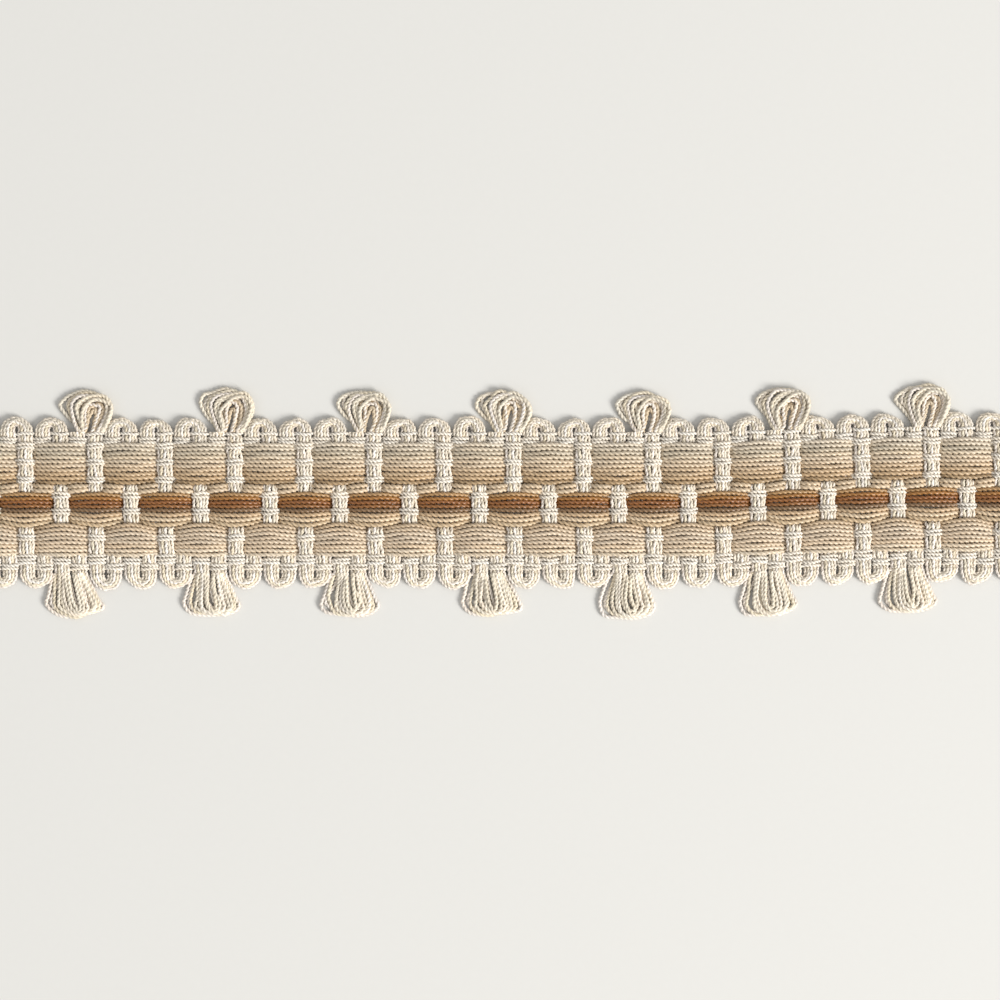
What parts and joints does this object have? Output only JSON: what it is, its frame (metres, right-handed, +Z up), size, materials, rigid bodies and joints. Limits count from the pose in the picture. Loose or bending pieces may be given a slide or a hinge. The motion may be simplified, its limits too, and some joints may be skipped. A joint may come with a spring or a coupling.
{
  "type": "woven braid trim",
  "caption": "Flat woven gimp braid with striped warp, thick ribbed weft, small round picots and longer loop tassels along both edges.",
  "frame": {"origin": "on the underside, at the middle bar of the weave, below the brown stripe", "axes": "+X along the trim, +Y across it towards the far (upper) edge, +Z up from the table through its thickness"},
  "size_m": [0.176, 0.0376, 0.0022],
  "materials": {
    "weave": "glossy two-ply cotton yarn, woven",
    "edge_yarn": "glossy two-ply cream cotton yarn in turns and loops"
  },
  "bodies": {
    "root": {"woven_band": "weave", "far_loop_edge": "edge_yarn", "near_loop_edge": "edge_yarn"}
  },
  "joints": []
}
